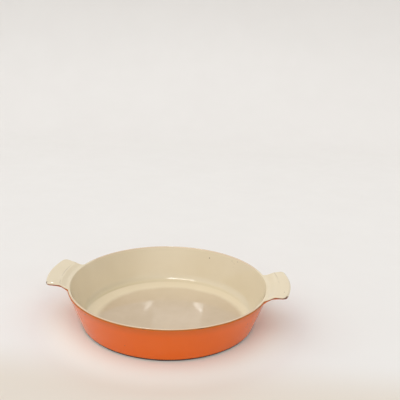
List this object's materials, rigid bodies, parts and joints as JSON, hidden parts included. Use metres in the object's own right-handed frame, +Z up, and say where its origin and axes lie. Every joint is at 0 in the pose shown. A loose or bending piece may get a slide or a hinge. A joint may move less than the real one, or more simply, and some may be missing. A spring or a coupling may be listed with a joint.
{
  "type": "baking dish",
  "caption": "Round shallow baking dish of enamelled cast iron with broad upswept ears, cream inside and orange outside, for oven and table.",
  "frame": {"origin": "centre of the foot ring, on the surface that the dish stands on", "axes": "+Z up out of the dish, +X along the line of the ears"},
  "size_m": [0.29, 0.24, 0.0522],
  "materials": {
    "bare_iron": "ground bare and darkened",
    "cream_enamel": "gloss vitreous enamel, lightly stained",
    "orange_enamel": "gloss vitreous enamel",
    "ground_coat": "semi-matt vitreous ground coat"
  },
  "bodies": {
    "root": {"iron_casting": "bare_iron", "interior_enamel": "cream_enamel", "rim_ground_coat": "ground_coat", "exterior_enamel": "orange_enamel", "base_ground_coat": "ground_coat", "underside_enamel": "orange_enamel"}
  },
  "joints": []
}
